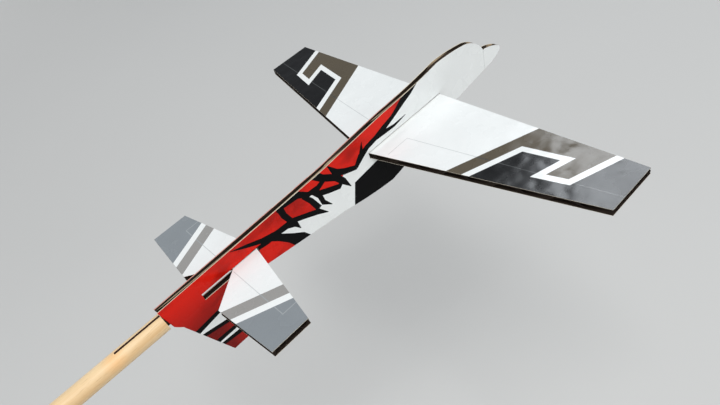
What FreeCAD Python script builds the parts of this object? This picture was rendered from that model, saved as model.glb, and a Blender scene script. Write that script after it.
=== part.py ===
"""Slotted card aeroplane on a stick, modelled belly up, as it is held for inverted flight.

Frame: origin at the centre of the stick's butt end, +X along the stick to the aeroplane's
nose, +Y to its left wing, +Z up (the aeroplane's belly side).  Millimetres.
Three printed corrugated boards slot together: a profile fuselage in the XZ plane, a wing and
a stabiliser in planes parallel to XY.  Each board is two printed sheets, two liners and a
fluted medium.  At the tail the board is pressed flat into a tongue, which goes into a narrow
sawn slit in the stick.
"""
import FreeCAD, Part
import math
import os

import Sketcher

doc = FreeCAD.newDocument("stick_aeroplane")

# ---------------------------------------------------------------- driving dimensions
sheet = doc.addObject("Spreadsheet::Sheet", "Dims")
DIMENSIONS = {
    # corrugated board: printed sheet, liner and flute height add up to the board
    "print_sheet": 0.2,
    "liner": 0.4,
    "flute_height": 3.3,
    "flute_paper": 0.25,
    "flute_pitch": 7.1,
    # stick
    "stick_length": 300.0,
    "stick_radius": 5.5,
    "stick_chamfer": 0.6,
    "slit_length": 29.0,
    "slit_play": 0.1,
    # tongue, pressed flat: its reach into the stick and back into the board
    "tongue_length": 25.5,
    "tongue_root": 9.0,
    "tongue_half_height": 4.0,
    "tongue_thickness": 1.3,
    # slots: play above and below a board, and at each end of it
    "slot_play_top": 0.6,
    "slot_play_bottom": 0.1,
    "slot_play_end": 0.25,
    # wing
    "wing_level": -1.3,
    "wing_edge_x": 527.5,
    "half_span": 150.0,
    "root_chord": 69.0,
    "tip_chord": 35.6,
    # stabiliser
    "stab_level": -1.3,
    "stab_root_x": 364.7,
    "stab_half_span": 66.5,
    "stab_tip_sweep": 12.5,
    "stab_tip_chord": 24.4,
    "elevator_corner_x": 324.1,
    "elevator_corner_y": 20.0,
    "notch_x": 346.1,
    "notch_half_width": 2.35,
}
WAVE_MARGIN = 2.0  # how far the drawn wave runs past the outline it is trimmed to
FUSELAGE_WAVE_SHIFT = 2.4  # lays one flute along the belly edge at the tail, on the right side
# fuselage outline stations: x from the stick's butt end, height above the stick's axis
STATIONS = {
    "belly_tail": (299.8, 9.6),
    "belly_mid": (425.0, 13.0),
    "belly_rise": (452.0, 15.4),
    "belly_front": (478.0, 17.4),
    "belly_dip": (505.0, 18.6),
    "chin_start": (531.0, 21.3),
    "chin_mid": (546.0, 20.3),
    "jaw": (558.5, 18.3),
    "jaw_bend": (569.2, 12.8),
    "cowl_front": (575.6, 4.6),
    "spinner_notch": (575.9, 3.4),
    "spinner_top": (577.4, 3.8),
    "spinner_bend": (586.0, 1.1),
    "spinner_brow": (592.2, -2.2),
    "spinner_tip": (593.3, -4.2),
    "spinner_lip": (591.9, -6.7),
    "spinner_under": (586.8, -9.1),
    "spinner_base": (578.6, -10.8),
    "cowl_top": (540.5, -16.1),
    "windscreen": (519.0, -19.6),
    "canopy_bend": (497.0, -28.0),
    "canopy_peak": (470.0, -34.0),
    "canopy_rear": (446.0, -30.6),
    "deck_front": (429.0, -26.8),
    "deck_rear": (364.0, -16.4),
    "fin_bend": (357.5, -18.4),
    "fin_root": (353.5, -23.5),
    "fin_tip_front": (341.5, -53.3),
    "fin_tip_rear": (320.5, -53.3),
    "rudder_foot": (305.6, -10.8),
    "tail_round": (303.4, -8.2),
    "tail_low": (301.9, -6.1),
}
DERIVED = {
    "half_board": "=(flute_height / 2 + liner + print_sheet)",
    "board": "=(2 * half_board)",
    "half_core": "=(flute_height / 2)",
    "half_lined": "=(flute_height / 2 + liner)",
    "tongue_end_x": "=(stick_length - tongue_length)",
    "tongue_root_x": "=(belly_tail_x + tongue_root)",
}


def fill_sheet():
    """Write every driving dimension as a plain number, then the few that follow from them."""
    cells = dict(DIMENSIONS)
    for name, (x, height) in STATIONS.items():
        cells[name + "_x"] = x
        cells[name + "_height"] = height
    row = 1
    for alias, value in cells.items():
        sheet.set("A%d" % row, alias)
        sheet.set("B%d" % row, str(value))
        sheet.setAlias("B%d" % row, alias)
        row += 1
    for alias, formula in DERIVED.items():
        sheet.set("A%d" % row, alias)
        sheet.set("B%d" % row, formula)
        sheet.setAlias("B%d" % row, alias)
        row += 1
    doc.recompute()


fill_sheet()


def dim(alias):
    """The present value of one cell of the sheet."""
    return float(getattr(sheet, alias))


def vector(x=0.0, y=0.0, z=0.0):
    return FreeCAD.Vector(x, y, z)


# ---------------------------------------------------------------- sketched outlines
def station(name):
    """One fuselage corner: its place now and the two expressions that drive it."""
    x, height = STATIONS[name]
    return (x, height), ("Dims.%s_x" % name, "Dims.%s_height" % name)


def corner(x, y, x_formula, y_formula):
    """One corner of another outline, given the same way as a station."""
    return (x, y), (x_formula, y_formula)


def place_vertex(sketch, edge, end, target):
    """Tie one end of an edge to the sheet by its distances from the sketch's origin."""
    for kind, value, formula in zip(("DistanceX", "DistanceY"), target[0], target[1]):
        number = sketch.addConstraint(Sketcher.Constraint(kind, -1, 1, edge, end, value))
        sketch.setExpression("Constraints[%d]" % number, formula)


def counter_clockwise_arc(start, middle, finish):
    """Arc through three points, turned the way a sketch stores it, and which end is start."""
    drawn = Part.Arc(start, middle, finish).toShape().Curve
    upright = Part.Circle(drawn.Center, vector(z=1), drawn.Radius)
    turn = (middle - start).cross(finish - middle).z
    first, last = (start, finish) if turn > 0 else (finish, start)
    first_angle = upright.parameter(first)
    last_angle = upright.parameter(last)
    if last_angle <= first_angle:
        last_angle += 2 * math.pi
    return Part.ArcOfCircle(upright, first_angle, last_angle), 1 if turn > 0 else 2


def add_loop(sketch, corners, rounds=()):
    """Draw a closed loop of lines; a corner named in rounds is the middle of an arc."""
    count = len(corners)
    ends = []
    index = 0
    while index < count:
        start = corners[index]
        if (index + 1) % count in rounds:
            middle = corners[(index + 1) % count]
            finish = corners[(index + 2) % count]
            points = [vector(*spot) for spot, formulas in (start, middle, finish)]
            arc, end = counter_clockwise_arc(*points)
            edge = sketch.addGeometry(arc, False)
            ends.append((edge, end, start, arc.Radius))
            index += 2
        else:
            finish = corners[(index + 1) % count]
            points = [vector(*spot) for spot, formulas in (start, finish)]
            edge = sketch.addGeometry(Part.LineSegment(*points), False)
            ends.append((edge, 1, start, None))
            index += 1
    for number, (edge, end, start, radius) in enumerate(ends):
        following = ends[(number + 1) % len(ends)]
        sketch.addConstraint(
            Sketcher.Constraint("Coincident", edge, 3 - end, following[0], following[1])
        )
        place_vertex(sketch, edge, end, start)
        if radius is not None:
            sketch.addConstraint(Sketcher.Constraint("Radius", edge, radius))


def slot_loop(edge_x, edge_formula, length, length_formula, level):
    """The four corners of a slot for a crossing board whose front edge is at edge_x."""
    play = dim("slot_play_end")
    top = dim(level) + dim("slot_play_top")
    low = dim(level) - dim("board") - dim("slot_play_bottom")
    front_f = "%s + Dims.slot_play_end" % edge_formula
    rear_f = "%s - %s - Dims.slot_play_end" % (edge_formula, length_formula)
    top_f = "Dims.%s + Dims.slot_play_top" % level
    low_f = "Dims.%s - Dims.board - Dims.slot_play_bottom" % level
    front = edge_x + play
    rear = edge_x - length - play
    return [
        corner(rear, low, rear_f, low_f),
        corner(front, low, front_f, low_f),
        corner(front, top, front_f, top_f),
        corner(rear, top, rear_f, top_f),
    ]


def fuselage_outline(sketch):
    """Profile of the whole aeroplane, with the slots for wing and stabiliser."""
    names = list(STATIONS)
    loop = [station(name) for name in names]
    middles = ("belly_rise", "belly_dip", "chin_mid", "jaw_bend", "spinner_bend",
               "spinner_tip", "spinner_under", "canopy_bend", "canopy_rear", "fin_bend",
               "tail_round")
    add_loop(sketch, loop, [names.index(name) for name in middles])
    wing_x = dim("wing_edge_x")
    add_loop(sketch, slot_loop(wing_x, "Dims.wing_edge_x", dim("root_chord"),
                               "Dims.root_chord", "wing_level"))
    stab_x = dim("stab_root_x")
    stab_reach = stab_x - dim("elevator_corner_x")
    add_loop(sketch, slot_loop(stab_x, "Dims.stab_root_x", stab_reach,
                               "(Dims.stab_root_x - Dims.elevator_corner_x)", "stab_level"))


def mirrored_loop(half):
    """Corners from nose to tail on the left side, then the same back on the right side."""
    right = []
    for (x, y), (x_formula, y_formula) in reversed(half):
        if y != 0.0:
            right.append(corner(x, -y, x_formula, "-(%s)" % y_formula))
    return half + right


def wing_outline(sketch):
    """Straight front edge, swept rear edge that comes to a point on the centre line."""
    front = dim("wing_edge_x")
    span = dim("half_span")
    half = [
        corner(front, span, "Dims.wing_edge_x", "Dims.half_span"),
        corner(front - dim("tip_chord"), span,
               "Dims.wing_edge_x - Dims.tip_chord", "Dims.half_span"),
        corner(front - dim("root_chord"), 0.0, "Dims.wing_edge_x - Dims.root_chord", "0"),
    ]
    add_loop(sketch, mirrored_loop(half))


def stabiliser_outline(sketch):
    """Swept front edge and a rear edge cut forward to a notch around the rudder."""
    root = dim("stab_root_x")
    tip = root - dim("stab_tip_sweep")
    span = dim("stab_half_span")
    tip_f = "Dims.stab_root_x - Dims.stab_tip_sweep"
    half = [
        corner(root, 0.0, "Dims.stab_root_x", "0"),
        corner(tip, span, tip_f, "Dims.stab_half_span"),
        corner(tip - dim("stab_tip_chord"), span,
               tip_f + " - Dims.stab_tip_chord", "Dims.stab_half_span"),
        corner(dim("elevator_corner_x"), dim("elevator_corner_y"),
               "Dims.elevator_corner_x", "Dims.elevator_corner_y"),
        corner(dim("notch_x"), dim("notch_half_width"),
               "Dims.notch_x", "Dims.notch_half_width"),
    ]
    add_loop(sketch, mirrored_loop(half))


# ---------------------------------------------------------------- boards
def origin_plane(body, role):
    """The body's own origin plane with this role."""
    return next(item for item in body.Origin.OriginFeatures if item.Role == role)


def board_layer(name, plane_role, draw_outline, offset_formula, thickness_formula):
    """One sheet of a board: its outline padded from an offset along the plane's normal."""
    body = doc.addObject("PartDesign::Body", name)
    body.Label = name
    sketch = body.newObject("Sketcher::SketchObject", name + "_outline")
    sketch.AttachmentSupport = [(origin_plane(body, plane_role), "")]
    sketch.MapMode = "FlatFace"
    sketch.setExpression("AttachmentOffset.Base.z", offset_formula)
    draw_outline(sketch)
    pad = body.newObject("PartDesign::Pad", name + "_pad")
    pad.Profile = sketch
    pad.setExpression("Length", thickness_formula)
    sketch.Visibility = False
    return body


def wave_shape(start_x, end_x):
    """Section of the corrugated sheet in the XZ plane, two tangent arcs to a pitch."""
    pitch = dim("flute_pitch")
    paper = dim("flute_paper")
    crest = (dim("flute_height") - paper) / 2
    quarter = pitch / 4
    radius = (crest ** 2 + quarter ** 2) / (2 * crest)
    half_angle = math.atan2(quarter, radius - crest)
    waves = math.ceil((end_x - start_x) / pitch)
    sides = {1: [], -1: []}
    for number in range(2 * waves):
        up = 1 if number % 2 == 0 else -1
        centre_x = start_x + quarter * (2 * number + 1)
        centre_z = -up * (radius - crest)
        for side, edges in sides.items():
            arc_radius = radius + side * up * paper / 2
            points = []
            for angle in (-half_angle, 0.0, half_angle):
                x = centre_x + arc_radius * math.sin(angle)
                z = centre_z + up * arc_radius * math.cos(angle)
                points.append(vector(x, 0, z))
            edges.append((Part.Arc(*points).toShape(), points[0], points[2]))
    top, bottom = sides[1], sides[-1]
    edges = [item[0] for item in top]
    edges.append(Part.makeLine(top[-1][2], bottom[-1][2]))
    edges.extend(item[0] for item in reversed(bottom))
    edges.append(Part.makeLine(bottom[0][1], top[0][1]))
    return Part.Face(Part.Wire(edges))


def fluted_medium(name, core, wave_face, direction, placement):
    """The wave, drawn along the flutes and trimmed to the outline of its board's core."""
    wave = doc.addObject("Part::Feature", name + "_wave")
    wave.Shape = wave_face.extrude(direction)
    wave.Placement = placement
    medium = doc.addObject("Part::Common", name)
    medium.Label = name
    medium.Base = core
    medium.Tool = wave
    return medium


def board(prefix, sheets, plane_role, draw_outline, middle_formula):
    """Five sheets of one board; sheets names the two printed ones, first the normal's side."""
    def offset(formula):
        return "%s + (%s)" % (middle_formula, formula)

    front, back = sheets
    layers = [
        board_layer("%s_print_%s" % (prefix, front), plane_role, draw_outline,
                    offset("Dims.half_lined"), "Dims.print_sheet"),
        board_layer("%s_liner_%s" % (prefix, front), plane_role, draw_outline,
                    offset("Dims.half_core"), "Dims.liner"),
        board_layer("%s_liner_%s" % (prefix, back), plane_role, draw_outline,
                    offset("0 - Dims.half_lined"), "Dims.liner"),
        board_layer("%s_print_%s" % (prefix, back), plane_role, draw_outline,
                    offset("0 - Dims.half_board"), "Dims.print_sheet"),
    ]
    core = board_layer(prefix + "_core", plane_role, draw_outline,
                       offset("0 - Dims.half_core"), "Dims.flute_height")
    return layers, core


def make_fuselage():
    """Board in the XZ plane; its flutes run from tail to nose, so the wave runs along Z."""
    layers, core = board("fuselage", ("right", "left"), "XZ_Plane", fuselage_outline, "0")
    lowest = dim("fin_tip_rear_height") - WAVE_MARGIN - FUSELAGE_WAVE_SHIFT
    face = wave_shape(lowest, dim("chin_start_height") + WAVE_MARGIN)
    tail_x = dim("belly_tail_x") - WAVE_MARGIN
    reach = dim("spinner_tip_x") + WAVE_MARGIN - tail_x
    # a third of a turn about the space diagonal takes X to Z, Y to X and Z to Y
    lengthwise = FreeCAD.Rotation(vector(1, 1, 1), -120)
    placement = FreeCAD.Placement(vector(x=tail_x), lengthwise)
    waves = fluted_medium("fuselage_waves", core, face, vector(y=reach), placement)
    tongue = doc.addObject("Part::Box", "fuselage_tongue")
    tongue.setExpression("Length", "Dims.tongue_root_x - Dims.tongue_end_x")
    tongue.setExpression("Width", "Dims.tongue_thickness")
    tongue.setExpression("Height", "2 * Dims.tongue_half_height")
    tongue.setExpression("Placement.Base.x", "Dims.tongue_end_x")
    tongue.setExpression("Placement.Base.y", "-Dims.tongue_thickness / 2")
    tongue.setExpression("Placement.Base.z", "-Dims.tongue_half_height")
    medium = doc.addObject("Part::Fuse", "fuselage_flutes")
    medium.Label = "fuselage_flutes"
    medium.Base = waves
    medium.Tool = tongue
    return layers + [medium]


def flat_board(prefix, draw_outline, level, front_x, rear_x, half_width):
    """Board parallel to XY with its upper face at the sheet's level; flutes run spanwise."""
    middle = "Dims.%s - Dims.half_board" % level
    layers, core = board(prefix, ("belly", "canopy"), "XY_Plane", draw_outline, middle)
    face = wave_shape(rear_x - WAVE_MARGIN, front_x + WAVE_MARGIN)
    centre_z = dim(level) - dim("half_board")
    reach = half_width + WAVE_MARGIN
    placement = FreeCAD.Placement(vector(0, -reach, centre_z), FreeCAD.Rotation())
    medium = fluted_medium(prefix + "_flutes", core, face, vector(y=2 * reach), placement)
    return layers + [medium]


def make_wing():
    front = dim("wing_edge_x")
    return flat_board("wing", wing_outline, "wing_level", front, front - dim("root_chord"),
                      dim("half_span"))


def make_stabiliser():
    return flat_board("stabiliser", stabiliser_outline, "stab_level", dim("stab_root_x"),
                      dim("elevator_corner_x"), dim("stab_half_span"))


# ---------------------------------------------------------------- stick
def make_stick():
    """Round dowel with a sawn slit in its front end and a small chamfer on its butt end."""
    rod = doc.addObject("Part::Cylinder", "stick_rod")
    rod.setExpression("Radius", "Dims.stick_radius")
    rod.setExpression("Height", "Dims.stick_length")
    rod.Placement = FreeCAD.Placement(vector(), FreeCAD.Rotation(vector(0, 1, 0), 90))
    # the box that cuts the slit stands clear of the dowel at its end, above it and below it
    slit = doc.addObject("Part::Box", "stick_slit")
    slit.setExpression("Length", "Dims.slit_length + Dims.stick_radius")
    slit.setExpression("Width", "Dims.tongue_thickness + 2 * Dims.slit_play")
    slit.setExpression("Height", "4 * Dims.stick_radius")
    slit.setExpression("Placement.Base.x", "Dims.stick_length - Dims.slit_length")
    slit.setExpression("Placement.Base.y", "-Dims.tongue_thickness / 2 - Dims.slit_play")
    slit.setExpression("Placement.Base.z", "-2 * Dims.stick_radius")
    sawn = doc.addObject("Part::Cut", "stick_sawn")
    sawn.Base = rod
    sawn.Tool = slit
    doc.recompute()
    rim = 1 + next(
        number for number, edge in enumerate(sawn.Shape.Edges)
        if edge.CenterOfMass.x < dim("stick_chamfer")
        and abs(edge.Length - 2 * math.pi * dim("stick_radius")) < 1e-3
    )
    stick = doc.addObject("Part::Chamfer", "stick_handle")
    stick.Label = "stick_handle"
    stick.Base = sawn
    stick.Edges = [(rim, dim("stick_chamfer"), dim("stick_chamfer"))]
    return [stick]


# ---------------------------------------------------------------- build and write
parts = make_fuselage() + make_wing() + make_stabiliser() + make_stick()
doc.recompute()

for item in doc.Objects:
    if "Invalid" in item.State or "Error" in item.State:
        raise RuntimeError("%s did not recompute: %s" % (item.Name, item.State))
for part in parts:
    if part.Shape.isNull() or not part.Shape.isValid() or part.Shape.Volume <= 0:
        raise RuntimeError("%s has no valid solid" % part.Label)

os.makedirs("parts", exist_ok=True)
for part in parts:
    part.Shape.exportStep(os.path.join("parts", part.Label + ".step"))
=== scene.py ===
"""Looks of the slotted card aeroplane on its stick: printed art, cut board edges, wood, stage.

Artwork is drawn in millimetres in the row frame: on the fuselage x runs from the stick's butt
end to the nose and the second number is the height over the stick's axis; on the wing and the
stabiliser the second number is the distance from the centre line, the same on both sides.
The boards cut the artwork, so outlines and stripes run on past their edges.
"""
import math

import bpy
from mathutils import Matrix, Vector
from mathutils.geometry import delaunay_2d_cdt


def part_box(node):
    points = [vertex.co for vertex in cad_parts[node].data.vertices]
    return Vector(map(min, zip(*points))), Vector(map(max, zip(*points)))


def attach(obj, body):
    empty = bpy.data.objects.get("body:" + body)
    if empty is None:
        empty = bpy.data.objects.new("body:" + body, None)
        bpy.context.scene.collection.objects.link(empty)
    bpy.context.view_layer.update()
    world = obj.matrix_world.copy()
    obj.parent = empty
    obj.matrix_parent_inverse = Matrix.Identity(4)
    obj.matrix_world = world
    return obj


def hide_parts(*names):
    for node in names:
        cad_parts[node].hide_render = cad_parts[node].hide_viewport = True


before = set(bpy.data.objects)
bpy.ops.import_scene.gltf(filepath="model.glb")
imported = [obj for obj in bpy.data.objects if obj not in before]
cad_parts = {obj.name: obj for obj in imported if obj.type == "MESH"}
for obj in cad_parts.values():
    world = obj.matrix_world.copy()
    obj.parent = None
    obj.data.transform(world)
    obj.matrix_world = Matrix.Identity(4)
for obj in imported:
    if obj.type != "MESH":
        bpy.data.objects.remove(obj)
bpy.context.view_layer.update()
MM = 0.001

# sizes that the CAD has too, in millimetres
FLUTE_PITCH = 7.1
LINER_INNER_FACE = 1.65
SLIT_HALF_WIDTH = 0.75
SLIT_END = 271.0

# axes of the frame, as places in a triple
SIDE, UP = 1, 2


# ---------------------------------------------------------------- colours
def srgb(red, green, blue):
    """Linear colour from the 0 to 255 values that a screen shows."""
    def linear(value):
        """One channel through the sRGB curve."""
        part = value / 255.0
        return part / 12.92 if part <= 0.04045 else ((part + 0.055) / 1.055) ** 2.4
    return (linear(red), linear(green), linear(blue), 1.0)


WHITE = srgb(232, 235, 234)
RED = srgb(212, 28, 13)
# dark red of the printed patches, and of the painted shadow of the stabiliser on the fin
DARK_RED = srgb(100, 8, 6)
BLACK = srgb(14, 14, 15)
OLIVE = srgb(86, 78, 64)
MID_GREY = srgb(150, 149, 146)
BLUE_GREY = srgb(132, 138, 142)
PANEL_LINE = srgb(200, 204, 203)
DARK_LINE = srgb(66, 68, 68)
FAINT_LINE = srgb(156, 161, 163)
PALE_LINER = srgb(222, 210, 186)
CHARRED = srgb(52, 42, 34)
KRAFT = srgb(176, 154, 124)
# deep brown of the charred flutes in the wing and stabiliser, and of the painted shade, with some
# charring, inside the fuselage's cavities
DEEP_BROWN = srgb(46, 36, 28)
INK_BLEED = srgb(204, 134, 122)
# painted shade inside the stick's slit
SLIT_SHADE = srgb(84, 56, 46)
WOOD_LIGHT = srgb(231, 204, 161)
WOOD_DARK = srgb(211, 174, 124)
WOOD_STAIN = srgb(236, 176, 108)


# ---------------------------------------------------------------- material helpers
# a colour mix node's sockets go by their places, because their names repeat
MIX_AMOUNT, MIX_FIRST, MIX_SECOND, MIX_RESULT = 0, 6, 7, 2
# metres from ridge to ridge of a wave texture whose scale is 1
WAVE_PERIOD = 2 * math.pi / 20


class Nodes:
    """Short way to add and join shader nodes of one material; lengths are in millimetres."""

    def __init__(self, name):
        self.material = bpy.data.materials.new(name)
        self.material.use_nodes = True
        self.tree = self.material.node_tree
        self.surface = self.tree.nodes["Principled BSDF"]
        self.place = self.add("ShaderNodeTexCoord").outputs["Object"]

    def add(self, kind, **values):
        """A new node with these settings."""
        node = self.tree.nodes.new(kind)
        for key, value in values.items():
            setattr(node, key, value)
        return node

    def join(self, source, target):
        """Link an output to an input."""
        self.tree.links.new(source, target)

    def feed(self, socket, value):
        """Join another node's output to a socket, or give the socket a plain value."""
        if isinstance(value, bpy.types.NodeSocket):
            self.join(value, socket)
        else:
            socket.default_value = value

    def finish(self, inputs):
        """The material, once its surface has these inputs."""
        for key, value in inputs.items():
            self.feed(self.surface.inputs[key], value)
        return self.material

    def along(self, axis):
        """How far along one axis of the frame a spot lies."""
        split = self.add("ShaderNodeSeparateXYZ")
        self.join(self.place, split.inputs[0])
        return split.outputs[axis]

    def off_centre(self):
        """How far from the centre line a spot lies, to either side."""
        return self.combine("ABSOLUTE", self.along("Y"), 0)

    def stretched(self, scale):
        """Object coordinates with each axis scaled."""
        mapping = self.add("ShaderNodeMapping")
        mapping.inputs["Scale"].default_value = scale
        self.join(self.place, mapping.inputs["Vector"])
        return mapping.outputs["Vector"]

    def noise(self, size, detail=3.0, stretch=(1, 1, 1), roughness=0.55):
        """Noise whose blobs are about size across."""
        node = self.add("ShaderNodeTexNoise")
        node.inputs["Scale"].default_value = 1.0 / (size * MM)
        node.inputs["Detail"].default_value = detail
        node.inputs["Roughness"].default_value = roughness
        self.join(self.stretched(stretch), node.inputs["Vector"])
        return node.outputs["Fac"]

    def waves(self, axis, pitch):
        """Soft ridges that repeat along one axis, as flutes show through a liner."""
        node = self.add("ShaderNodeTexWave", wave_type="BANDS", bands_direction=axis)
        node.inputs["Scale"].default_value = WAVE_PERIOD / (pitch * MM)
        node.inputs["Distortion"].default_value = 0.4
        node.inputs["Detail"].default_value = 1.0
        self.join(self.place, node.inputs["Vector"])
        return node.outputs["Fac"]

    def remap(self, value, low, high, new_low=0.0, new_high=1.0):
        """A value's range from low to high, stretched to the new range and clamped there."""
        node = self.add("ShaderNodeMapRange")
        node.inputs["From Min"].default_value = low
        node.inputs["From Max"].default_value = high
        node.inputs["To Min"].default_value = new_low
        node.inputs["To Max"].default_value = new_high
        self.join(value, node.inputs["Value"])
        return node.outputs["Result"]

    def ramp(self, distance, clear, full, most=1.0):
        """Nothing where a distance is clear, growing to the most where it is full."""
        return self.remap(distance, clear * MM, full * MM, 0.0, most)

    def combine(self, operation, first, second):
        """Sum, product or the like of two values."""
        node = self.add("ShaderNodeMath", operation=operation)
        self.feed(node.inputs[0], first)
        self.feed(node.inputs[1], second)
        return node.outputs[0]

    def blend(self, amount, first, second):
        """Mix of two colours."""
        node = self.add("ShaderNodeMix", data_type="RGBA")
        self.feed(node.inputs[MIX_AMOUNT], amount)
        self.feed(node.inputs[MIX_FIRST], first)
        self.feed(node.inputs[MIX_SECOND], second)
        return node.outputs[MIX_RESULT]

    def overlay(self, base, marks, strength, over):
        """A base with a second colour over it where the marks are, at most as strong as told."""
        return self.blend(self.combine("MULTIPLY", marks, strength), base, over)

    def bump(self, height, distance, strength, under=None):
        """Relief as deep as the distance, on top of the relief under it."""
        node = self.add("ShaderNodeBump")
        node.inputs["Distance"].default_value = distance * MM
        node.inputs["Strength"].default_value = strength
        self.join(height, node.inputs["Height"])
        if under is not None:
            self.join(under, node.inputs["Normal"])
        return node.outputs["Normal"]


def shade(colour, factor):
    """A colour made darker by a factor."""
    return (colour[0] * factor, colour[1] * factor, colour[2] * factor, 1.0)


# ---------------------------------------------------------------- materials of the object
def finish_print(nodes, base, varnish):
    """The material, with the uneven gloss and the relief that every printed area shares."""
    gloss = nodes.remap(nodes.noise(size=22, detail=4), 0.3, 0.7, new_low=0.20, new_high=0.33)
    fibre = nodes.bump(nodes.noise(size=0.7, detail=3), distance=0.01, strength=0.35)
    ridges = nodes.waves("X", FLUTE_PITCH)
    washboard = nodes.bump(ridges, distance=0.03, strength=0.35, under=fibre)
    outboard = nodes.ramp(nodes.off_centre(), clear=12, full=90)
    swell = nodes.combine("MULTIPLY", nodes.noise(size=26, detail=2), outboard)
    warp = nodes.bump(swell, distance=2.4, strength=0.5, under=washboard)
    return nodes.finish({
        "Base Color": base,
        "Roughness": gloss,
        "Specular IOR Level": 0.5 * varnish,
        "Coat Weight": varnish,
        "Coat Roughness": 0.16,
        "Normal": warp,
        "Coat Normal": warp,
    })


def printed(name, colour, deep=None, varnish=0.5):
    """One ink with faint mottle, and specks of a deeper tone where the paper's fibres show."""
    nodes = Nodes(name)
    mottle = nodes.remap(nodes.noise(size=16, detail=4), low=0.35, high=0.70)
    specks = nodes.remap(nodes.noise(size=0.6, detail=2), low=0.45, high=0.75)
    base = nodes.overlay(colour, mottle, strength=0.45, over=shade(colour, 0.93))
    base = nodes.overlay(base, specks, strength=0.30, over=deep or shade(colour, 0.88))
    return finish_print(nodes, base, varnish)


def printed_red(name):
    """Red ink that is printed darker in soft patches, and at the tail darker towards the fin, which
    is painted shadow of the stabiliser.
    """
    nodes = Nodes(name)
    clouds = nodes.noise(size=30, detail=3, stretch=(1.0, 1.0, 1.6))
    patches = nodes.combine("MULTIPLY", nodes.remap(clouds, low=0.47, high=0.66), 0.55)
    # painted shadow of the stabiliser on the fin: darker towards the fin, over the tail only
    towards_fin = nodes.ramp(nodes.along("Z"), clear=4, full=-26, most=0.95)
    tail_only = nodes.ramp(nodes.along("X"), clear=345, full=322)
    stabiliser_shadow = nodes.combine("MULTIPLY", towards_fin, tail_only)
    base = nodes.blend(nodes.combine("MAXIMUM", patches, stabiliser_shadow), RED, DARK_RED)
    specks = nodes.remap(nodes.noise(size=0.6, detail=2), low=0.5, high=0.8)
    base = nodes.overlay(base, specks, strength=0.25, over=shade(RED, 0.6))
    return finish_print(nodes, base, varnish=0.15)


def board_paper(name, colour, dark, darkenings=(), bleed=None):
    """Bare kraft paper: fibres, flecks, no gloss.

    Each darkening is one or more ramps that are multiplied, such as the painted shade in the
    fuselage's cavities;
    a ramp is an axis and two places on it, where the darkening ends and where it is full.
    The bleed is a colour that the ink leaves in the paper along the red part of the fuselage.
    """
    nodes = Nodes(name)
    fibres = nodes.remap(nodes.noise(size=1.2, detail=5, roughness=0.7), low=0.3, high=0.7)
    flecks = nodes.remap(nodes.noise(size=0.4, detail=2), low=0.62, high=0.72)
    base = nodes.blend(fibres, dark, colour)
    base = nodes.overlay(base, flecks, strength=0.5, over=shade(dark, 0.5))
    if bleed is not None:
        red_part = nodes.ramp(nodes.along("X"), clear=505, full=480, most=0.8)
        base = nodes.blend(red_part, base, bleed)
    # each darkening blends towards deep brown; on the fuselage it is painted shade in the cavities,
    # with some charring
    for ramps in darkenings:
        amount = 1.0
        for axis, clear, full in ramps:
            amount = nodes.combine("MULTIPLY", nodes.ramp(nodes.along(axis), clear, full), amount)
        base = nodes.blend(amount, base, DEEP_BROWN)
    relief = nodes.bump(nodes.noise(size=0.8, detail=4), distance=0.06, strength=0.6)
    return nodes.finish({
        "Base Color": base,
        "Roughness": 0.88,
        "Specular IOR Level": 0.2,
        "Normal": relief,
    })


def painted_slit_shade(nodes):
    """Painted shade in the slit: full on its walls and blind end, and clear a hair's breadth outside
    them.
    """
    jaws_clear, jaws_full = SLIT_HALF_WIDTH + 0.05, SLIT_HALF_WIDTH + 0.03
    end_clear, end_full = SLIT_END - 0.2, SLIT_END - 0.1
    between_jaws = nodes.ramp(nodes.off_centre(), jaws_clear, jaws_full)
    past_slit_end = nodes.ramp(nodes.along("X"), end_clear, end_full)
    return nodes.combine("MULTIPLY", between_jaws, past_slit_end)


def wood_stain(nodes):
    """A small stain on the upper right of the stick, just behind the slit."""
    reach = nodes.add("ShaderNodeVectorMath", operation="DISTANCE")
    nodes.join(nodes.place, reach.inputs[0])
    reach.inputs[1].default_value = Vector((269, -3, 5)) * MM
    return nodes.ramp(reach.outputs["Value"], clear=8, full=2, most=0.45)


def bare_wood():
    """Sanded dowel: long grain, pale and darker streaks, short pores."""
    nodes = Nodes("bare_wood")
    grain = nodes.noise(size=2.2, detail=6, stretch=(0.045, 1, 1), roughness=0.65)
    streaks = nodes.noise(size=6, detail=2, stretch=(0.03, 1, 1))
    short_marks = nodes.noise(size=0.5, detail=2, stretch=(0.06, 1, 1))
    pores = nodes.remap(short_marks, low=0.60, high=0.70)
    tone = nodes.combine("ADD", nodes.remap(grain, 0.35, 0.68, new_high=0.55),
                         nodes.remap(streaks, 0.40, 0.65, new_high=0.45))
    base = nodes.blend(tone, WOOD_LIGHT, WOOD_DARK)
    base = nodes.overlay(base, pores, strength=0.35, over=shade(WOOD_DARK, 0.55))
    base = nodes.blend(wood_stain(nodes), base, WOOD_STAIN)
    # painted shade on the slit's walls and blind end
    base = nodes.blend(painted_slit_shade(nodes), base, SLIT_SHADE)
    return nodes.finish({
        "Base Color": base,
        "Roughness": nodes.remap(grain, 0.3, 0.7, new_low=0.45, new_high=0.62),
        "Normal": nodes.bump(grain, distance=0.12, strength=0.45),
    })


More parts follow.
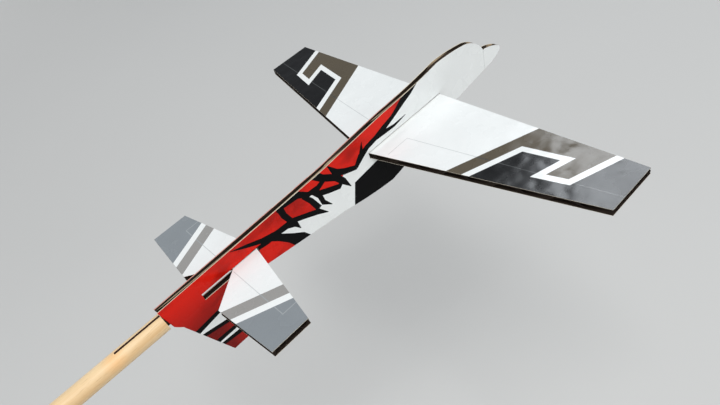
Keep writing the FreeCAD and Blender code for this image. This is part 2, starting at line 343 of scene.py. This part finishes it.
INKS = {
    "white": printed("print_white", WHITE),
    "black": printed("print_black", BLACK),
    "olive": printed("print_olive", OLIVE, shade(OLIVE, 0.5)),
    "grey": printed("print_grey", MID_GREY, shade(MID_GREY, 0.72)),
    "blue_grey": printed("print_blue_grey", BLUE_GREY, shade(BLUE_GREY, 0.8)),
    "red": printed_red("print_red"),
    "flat_black": printed("print_flat_black", BLACK, varnish=0.05),
    "panel_line": printed("print_panel_line", PANEL_LINE),
    "dark_line": printed("print_dark_line", DARK_LINE),
    "faint_line": printed("print_faint_line", FAINT_LINE),
    "edge": board_paper("print_sheet_edge", srgb(236, 230, 216), srgb(206, 196, 174)),
    "red_edge": board_paper("print_sheet_edge_red", srgb(222, 150, 136), srgb(190, 104, 92)),
}
INK_ORDER = list(INKS)


# ---------------------------------------------------------------- artwork shapes
def band(points, width):
    """Outline of a stripe of constant width along a bent centre line, with mitred bends."""
    half = width / 2
    left, right = [], []
    for index, here in enumerate(points):
        spot = Vector(here)
        before = (spot - Vector(points[index - 1])).normalized() if index else None
        after = None
        if index + 1 < len(points):
            after = (Vector(points[index + 1]) - spot).normalized()
        before = before or after
        after = after or before
        side = Vector((-before.y - after.y, before.x + after.x)).normalized()
        reach = half / side.dot(Vector((-before.y, before.x)))
        left.append(tuple(spot + side * reach))
        right.append(tuple(spot - side * reach))
    return left + right[::-1]


def brush(points):
    """Outline of a stroke whose width changes; each point is x, height and width."""
    left, right = [], []
    for index, (x, y, width) in enumerate(points):
        ahead = points[min(index + 1, len(points) - 1)]
        behind = points[max(index - 1, 0)]
        along = Vector((ahead[0] - behind[0], ahead[1] - behind[1])).normalized()
        side = Vector((-along.y, along.x)) * (width / 2)
        left.append((x + side.x, y + side.y))
        right.append((x - side.x, y - side.y))
    return left + right[::-1]


def both_sides(shapes):
    """Every shape and its mirror image across the centre line."""
    mirrored = [(ink, [(x, -y) for x, y in points]) for ink, points in shapes]
    return shapes + mirrored


def wing_art():
    """White roots, an olive band, black tips and one white stripe bent like a switchback."""
    # these lie past the edges of the board
    front, rear, end = 532.5, 454.0, 155.0
    stripe_front = 533.5
    olive_field = [(front, 83.8), (rear, 49.1), (rear, end), (front, end)]
    stripe = [(stripe_front, 135.6), (497.9, 121.1), (494.0, 104.2), (512.8, 110.8),
              (508.0, 83.8), (rear, 60.4)]
    black_field = stripe[::-1] + [(stripe_front, end), (rear, end)]
    hinge_bend = (489.6, 64.9)
    return both_sides([
        ("olive", olive_field),
        ("black", black_field),
        ("panel_line", band([(464.0, 14.4), (482.0, 14.4), hinge_bend], width=0.5)),
        ("dark_line", band([hinge_bend, (502.6, 151.0)], width=0.6)),
        ("white", band(stripe, width=4.1)),
    ])


def stabiliser_art():
    """White root, mid grey band, white stripe and blue-grey tip, all raked the same way."""
    # the first two lie past the edges of the board
    front, rear, hinge = 364.0, 318.0, 345.3

    def line(lead_y):
        """A raked line across the stabiliser, by where it meets the board's front edge."""
        return [(front, lead_y + 3.6), (rear, lead_y - 17.2)]

    def field(inner, outer):
        """The area between two raked lines."""
        return line(inner) + line(outer)[::-1]

    return both_sides([
        ("grey", field(36.6, 45.0)),
        ("blue_grey", field(49.8, 95.0)),
        ("panel_line", band([(hinge, 4.0), (hinge, 31.6)], width=0.5)),
        ("faint_line", band([(hinge, 31.6), (hinge, 39.8)], width=0.5)),
        ("faint_line", band([(hinge, 45.6), (hinge, 53.0), (362.0, 53.0)], width=0.5)),
    ])


def fuselage_art():
    """Red tail, white nose, angular brush strokes where they meet, black canopy."""
    # these lie past the edges of the board
    rear, low, high = 255, -60, 30
    red_field = [(rear, low), (rear, high), (500, high), (495, 15.6), (488, 12), (474, 7), (460, 4.1),
                 (452, 1.2), (446, -3), (437, 0.4), (430, -6), (422, -3), (414.5, 0), (408, 4.6),
                 (411, -10), (400, -6.3), (392, -3.4), (384, -3.4), (378, -6), (386, -13),
                 (391, -20), (391, low)]
    strokes = [
        # long border stroke under the wing, thin at the nose end
        [(511, 19.8, 1.0), (503, 18.0, 5.4), (496, 15.6, 5.4), (489, 12.2, 4.0),
         (484, 10.0, 3.4), (476, 7.8, 4.4), (467, 5.4, 4.0), (459, 4.2, 4.2), (452, 1.4, 5.4),
         (446, -3.2, 3.4)],
        [(495, 4.4, 0.4), (484, 3.4, 2.2), (474, 4.6, 3.4), (466, 5.0, 3.0)],
        # spikes and crossings up to the belly edge
        [(456, 10.8, 0.3), (453.4, 4.0, 3.4), (452, 0, 4.0)],
        [(447, -3.6, 3.2), (437, 0.8, 4.6), (431, 4.4, 5.6), (427.4, 13, 0.6)],
        [(438, -13, 0.4), (434, -5, 4.6), (430, 1.4, 5.0), (421, 8.4, 5.0), (416, 15, 6.0)],
        [(435, -3, 3.4), (430, -6.4, 4.2), (422, -3, 4.4), (414.5, 0.6, 4.4), (411, 6, 3.4)],
        [(424, 7.4, 3.4), (416, 4.4, 4.4), (408, 5.4, 4.0), (402, 10.4, 5.0), (386, 14, 8.0)],
        [(420.6, -14, 0.4), (415.6, -8, 3.6), (415, -1.4, 3.8), (411.6, 5, 4.0)],
        [(404.6, 6.8, 3.4), (408.2, 0, 3.8), (411.4, -9.6, 4.4)],
        [(416, -17, 0.4), (410, -11.2, 4.2), (400, -6.4, 3.8), (391, -2.4, 4.2),
         (388.4, 5, 4.2), (388, 13, 5.0)],
        # long thin tails over the stabiliser and the wedge behind it
        [(394.6, -12, 0.4), (393, -7, 3.6), (388, -3, 5.2), (379, -2.2, 4.4), (369, 1, 3.6),
         (360, 5.4, 2.6), (350, 10.2, 0.3)],
        [(384, -2.6, 4.0), (372, -2.6, 4.0), (362, -1.6, 2.6), (351, -1.6, 0.8)],
        [(375, -2.6, 4.0), (380, -6.6, 5.0), (386, -13, 6.4), (391, -19, 10.0), (394, -26, 12.0)],
    ]
    canopy = [(441.4, -12.7), (462, -10.6), (488, -10.8), (508, -14), (521, -20.5), (521, low),
              (423, low)]
    canopy_bow = band([(494, -9), (489.5, -34)], width=1.6)
    spinner_seam = band([(575.9, 4), (574.6, -13)], width=0.4)
    # the bands across the fin run from behind the board to about the fin's front edge
    rudder_rear, rudder_front = 300, 352

    def rudder_band(ink, upper, lower):
        """A band across the rudder between two lines, each by its heights, rear end first."""
        points = [(rudder_rear, upper[0]), (rudder_front, upper[1]),
                  (rudder_front, lower[1]), (rudder_rear, lower[0])]
        return (ink, points)

    return [
        ("red", red_field),
        *[("flat_black", brush(points)) for points in strokes],
        rudder_band("flat_black", (-20.8, -15.6), (-25.1, -17.2)),
        rudder_band("white", (-25.1, -17.2), (-23.0, -34.6)),
        rudder_band("flat_black", (-23.0, -34.6), (-25.6, -38.4)),
        rudder_band("red", (-25.6, -38.4), (-36.4, -37.8)),
        rudder_band("flat_black", (-36.4, -37.8), (-40.2, -40.2)),
        rudder_band("white", (-40.2, -40.2), (-40.6, -44.4)),
        rudder_band("flat_black", (-40.6, -44.4), (-41.9, -49.8)),
        ("flat_black", canopy),
        ("white", canopy_bow),
        ("panel_line", spinner_seam),
    ]


# ---------------------------------------------------------------- printed sheets
# a corner this close to the sheet's outer level is on it, in metres
LEVEL_SLACK = 1e-6
# corners closer than this in plan are one, in millimetres
SAME_SPOT = 1e-5
# the cut fills everything up to the convex hull, so that slots have to be taken out afterwards
WHOLE_HULL = 0


def closed(ring):
    """The neighbours in a ring as pairs, with the last one back to the first."""
    return list(zip(ring, ring[1:] + ring[:1]))


def middle(flat, face):
    """Centre of a face's corners, in plan."""
    return sum((flat[index] for index in face), Vector((0.0, 0.0))) / len(face)


def inside(point, segments):
    """Even-odd test of a point against the straight pieces of closed borders."""
    x, y = point
    found = False
    for (x0, y0), (x1, y1) in segments:
        if (y0 > y) != (y1 > y) and x < x0 + (y - y0) / (y1 - y0) * (x1 - x0):
            found = not found
    return found


def ink_at(point, shapes):
    """The ink of the last shape that covers a point; the ground under them all is white."""
    ink = "white"
    for name, outline in shapes:
        if inside(point, closed(outline)):
            ink = name
    return ink


def face_plan(node, across):
    """Corners and border edges, in plan, of a CAD sheet's face; across is its thin axis."""
    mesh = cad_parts[node].data
    plan_axes = [axis for axis in range(3) if axis != across]
    levels = [vertex.co[across] for vertex in mesh.vertices]
    top = max(levels)
    keys, corners, uses = {}, [], {}
    mesh.calc_loop_triangles()
    for triangle in mesh.loop_triangles:
        if any(abs(levels[index] - top) > LEVEL_SLACK for index in triangle.vertices):
            continue
        ids = []
        for index in triangle.vertices:
            spot = tuple(mesh.vertices[index].co[axis] / MM for axis in plan_axes)
            key = (round(spot[0], 3), round(spot[1], 3))
            if key not in keys:
                keys[key] = len(corners)
                corners.append(spot)
            ids.append(keys[key])
        for side in closed(ids):
            uses.setdefault(frozenset(side), []).append(side)
    borders = [sides[0] for sides in uses.values() if len(sides) == 1]
    return corners, borders


def cut_plan(corners, borders, shapes):
    """A face's plan cut along the outline of every shape: its corners and its triangles."""
    points = [Vector(corner) for corner in corners]
    edges = list(borders)
    for _, outline in shapes:
        numbers = list(range(len(points), len(points) + len(outline)))
        points.extend(Vector(spot) for spot in outline)
        edges.extend(closed(numbers))
    flat, _, faces, _, _, _ = delaunay_2d_cdt(points, edges, [], WHOLE_HULL, SAME_SPOT)
    rim = [(corners[first], corners[second]) for first, second in borders]
    faces = [face for face in faces if inside(middle(flat, face), rim)]
    kept = sorted({index for face in faces for index in face})
    place = {index: number for number, index in enumerate(kept)}
    return [flat[index] for index in kept], [[place[index] for index in face] for face in faces]


def sheet_polygons(flat, faces, shapes):
    """A sheet's polygons and their inks: the printed face, the face behind it and the rim."""
    total = len(flat)
    polygons, inks, sides = [], [], {}
    for face in faces:
        ink = ink_at(middle(flat, face), shapes)
        polygons.append(tuple(face))
        inks.append(ink)
        polygons.append(tuple(index + total for index in reversed(face)))
        inks.append("edge")
        for side in closed(face):
            sides.setdefault(frozenset(side), []).append((side, ink))
    for uses in sides.values():
        if len(uses) == 1:
            (first, second), ink = uses[0]
            polygons.append((second, first, first + total, second + total))
            inks.append("red_edge" if ink == "red" else "edge")
    return polygons, inks


def lifted(spot, across, level):
    """A spot of the plan as a place in the frame, at a level of the thin axis."""
    place = [spot.x * MM, spot.y * MM]
    place.insert(across, level)
    return tuple(place)


def printed_sheet(node, body, across, outward, shapes):
    """A sheet cut along the artwork, so that every area of one ink has its own faces."""
    corners, borders = face_plan(node, across)
    flat, faces = cut_plan(corners, borders, shapes)
    polygons, inks = sheet_polygons(flat, faces, shapes)
    low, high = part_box(node)
    outer, inner = (high[across], low[across]) if outward > 0 else (low[across], high[across])
    vertices = [lifted(spot, across, level) for level in (outer, inner) for spot in flat]
    mesh = bpy.data.meshes.new(node + "_art")
    mesh.from_pydata(vertices, [], polygons)
    for ink in INK_ORDER:
        mesh.materials.append(INKS[ink])
    for polygon, ink in zip(mesh.polygons, inks):
        polygon.material_index = INK_ORDER.index(ink)
    # a plan with x to the right is seen from -Y on the fuselage and from +Z on the others
    seen_from = -1 if across == SIDE else 1
    if outward != seen_from:
        mesh.flip_normals()
    piece = bpy.data.objects.new(node + "_art", mesh)
    bpy.context.scene.collection.objects.link(piece)
    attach(piece, body)
    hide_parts(node)


BOARDS = [
    ("fuselage", SIDE, {"right": -1, "left": 1}, fuselage_art),
    ("wing", UP, {"belly": 1, "canopy": -1}, wing_art),
    ("stabiliser", UP, {"belly": 1, "canopy": -1}, stabiliser_art),
]
for body, across, faces, art in BOARDS:
    for face, outward in faces.items():
        printed_sheet("%s_print_%s" % (body, face), body, across, outward, art())


# ---------------------------------------------------------------- carried-over CAD nodes
def dress(node, material):
    """Give a CAD node one material."""
    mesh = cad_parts[node].data
    mesh.materials.clear()
    mesh.materials.append(material)


def dress_fuselage():
    """Pale liners darkened on their inner faces and flutes darkened except along the belly: painted
    shade in the board's cavities, with some charring from the cut.
    """
    def inside_shade_and_char(side):
        """Painted shade on a liner's inner face inside the board, with some charring, on one side of
        the centre line.
        """
        return [("Y", side * (LINER_INNER_FACE + 0.04), side * (LINER_INNER_FACE + 0.01))]

    liner_fibre_dark = shade(PALE_LINER, 0.7)
    # the right liner is darker all over forward of x 515
    darker_nose = [("X", 500, 515)]
    # the flutes carry painted shade, with some charring, except on their right side over the tail and
    # on their left over the nose
    flute_shade_and_char = [
        [("Y", -0.3, 0.3), ("X", 515, 495)],
        [("Y", 0.9, 0.5), ("X", 495, 515)],
        [("Z", 7.5, 6.0), ("X", 575, 560)],
    ]
    dress("fuselage_liner_right", board_paper("liner_paper_right", PALE_LINER, liner_fibre_dark,
                                              [inside_shade_and_char(-1), darker_nose]))
    dress("fuselage_liner_left", board_paper("liner_paper_left", PALE_LINER, liner_fibre_dark,
                                             [inside_shade_and_char(1)], INK_BLEED))
    dress("fuselage_flutes", board_paper("flute_paper", KRAFT, shade(KRAFT, 0.6), flute_shade_and_char))


def dress_charred_boards():
    """The wing and the stabiliser, whose cut edges are black all the way round."""
    charred_liner = board_paper("liner_paper_charred", CHARRED, shade(CHARRED, 0.45))
    charred_flutes = board_paper("flute_paper_charred", DEEP_BROWN, shade(DEEP_BROWN, 0.4))
    for board in ("wing", "stabiliser"):
        dress(board + "_liner_belly", charred_liner)
        dress(board + "_liner_canopy", charred_liner)
        dress(board + "_flutes", charred_flutes)


dress_fuselage()
dress_charred_boards()
dress("stick_handle", bare_wood())


# ---------------------------------------------------------------- stage, light and camera
def floor_paint():
    """Matt pale grey with very faint clouds."""
    nodes = Nodes("floor_paint")
    colour = srgb(200, 200, 198)
    tone = nodes.blend(nodes.noise(size=400, detail=3), shade(colour, 0.97), colour)
    return nodes.finish({"Base Color": tone, "Roughness": 0.9})


def make_floor():
    """Wide plain floor below the aeroplane, which a hand holds up in the air."""
    size, level = 30.0, -0.32
    mesh = bpy.data.meshes.new("floor")
    ring = [(-size, -size, level), (size, -size, level), (size, size, level), (-size, size, level)]
    mesh.from_pydata(ring, [], [(0, 1, 2, 3)])
    mesh.materials.append(floor_paint())
    floor = bpy.data.objects.new("floor", mesh)
    bpy.context.scene.collection.objects.link(floor)


def direction(azimuth, elevation):
    """Unit vector towards a compass angle from -Y, turning towards +X, and a height angle."""
    turn, rise = math.radians(azimuth), math.radians(elevation)
    return Vector((math.sin(turn) * math.cos(rise), -math.cos(turn) * math.cos(rise),
                   math.sin(rise)))


def area_light(name, aim, azimuth, elevation, distance, size, power, colour=(1, 1, 1)):
    """A softbox, in metres and watts, that faces a point given in millimetres."""
    data = bpy.data.lights.new(name, "AREA")
    data.color = colour
    data.shape = "RECTANGLE"
    data.size, data.size_y = size
    data.energy = power
    light = bpy.data.objects.new(name, data)
    towards = direction(azimuth, elevation)
    light.location = Vector(aim) * MM + towards * distance
    light.rotation_mode = "QUATERNION"
    light.rotation_quaternion = towards.to_track_quat("Z", "Y")
    bpy.context.scene.collection.objects.link(light)


def make_lights():
    """Key from above, weaker boxes from both sides and behind, and a glare in the right wing tip."""
    middle_of_plane = (420, 0, 0)
    right_tip = (512, -150, 0)
    cool = (0.90, 0.95, 1.0)
    area_light("key", middle_of_plane, azimuth=-20.0, elevation=66.0, distance=3.0,
               size=(1.7, 1.7), power=72.0)
    area_light("side", middle_of_plane, azimuth=12.0, elevation=20.0, distance=4.0,
               size=(2.0, 1.4), power=41.0)
    area_light("far_side", middle_of_plane, azimuth=186.0, elevation=14.0, distance=3.2,
               size=(1.6, 0.8), power=14.0)
    area_light("fill", middle_of_plane, azimuth=-80.0, elevation=30.0, distance=3.2,
               size=(2.1, 2.1), power=15.0)
    area_light("tip_glare", right_tip, azimuth=117.0, elevation=46.0, distance=3.0,
               size=(0.85, 1.0), power=20.0, colour=cool)


def make_world():
    """Dim, slightly blue surroundings."""
    world = bpy.data.worlds.new("studio")
    world.use_nodes = True
    background = world.node_tree.nodes["Background"]
    background.inputs["Color"].default_value = srgb(222, 228, 236)
    background.inputs["Strength"].default_value = 0.24
    bpy.context.scene.world = world


def make_camera():
    """Close, from behind the right wing and above, rolled so that the nose points up."""
    aim = Vector((0.4239, -0.0308, 0.0))
    azimuth, elevation, roll, distance = -28.60, 42.38, 21.29, 0.3527
    data = bpy.data.cameras.new("camera")
    data.sensor_width = 36.0
    data.lens = 30.0
    data.clip_start = 0.01
    camera = bpy.data.objects.new("camera", data)
    back = direction(azimuth, elevation)
    camera.location = aim + back * distance
    upright = back.to_track_quat("Z", "Y").to_matrix()
    turn = Matrix.Rotation(math.radians(-roll), 3, "Z")
    camera.rotation_mode = "QUATERNION"
    camera.rotation_quaternion = (upright @ turn).to_quaternion()
    bpy.context.scene.collection.objects.link(camera)
    bpy.context.scene.camera = camera


make_floor()
make_world()
make_lights()
make_camera()
bpy.context.scene.view_settings.view_transform = "Standard"
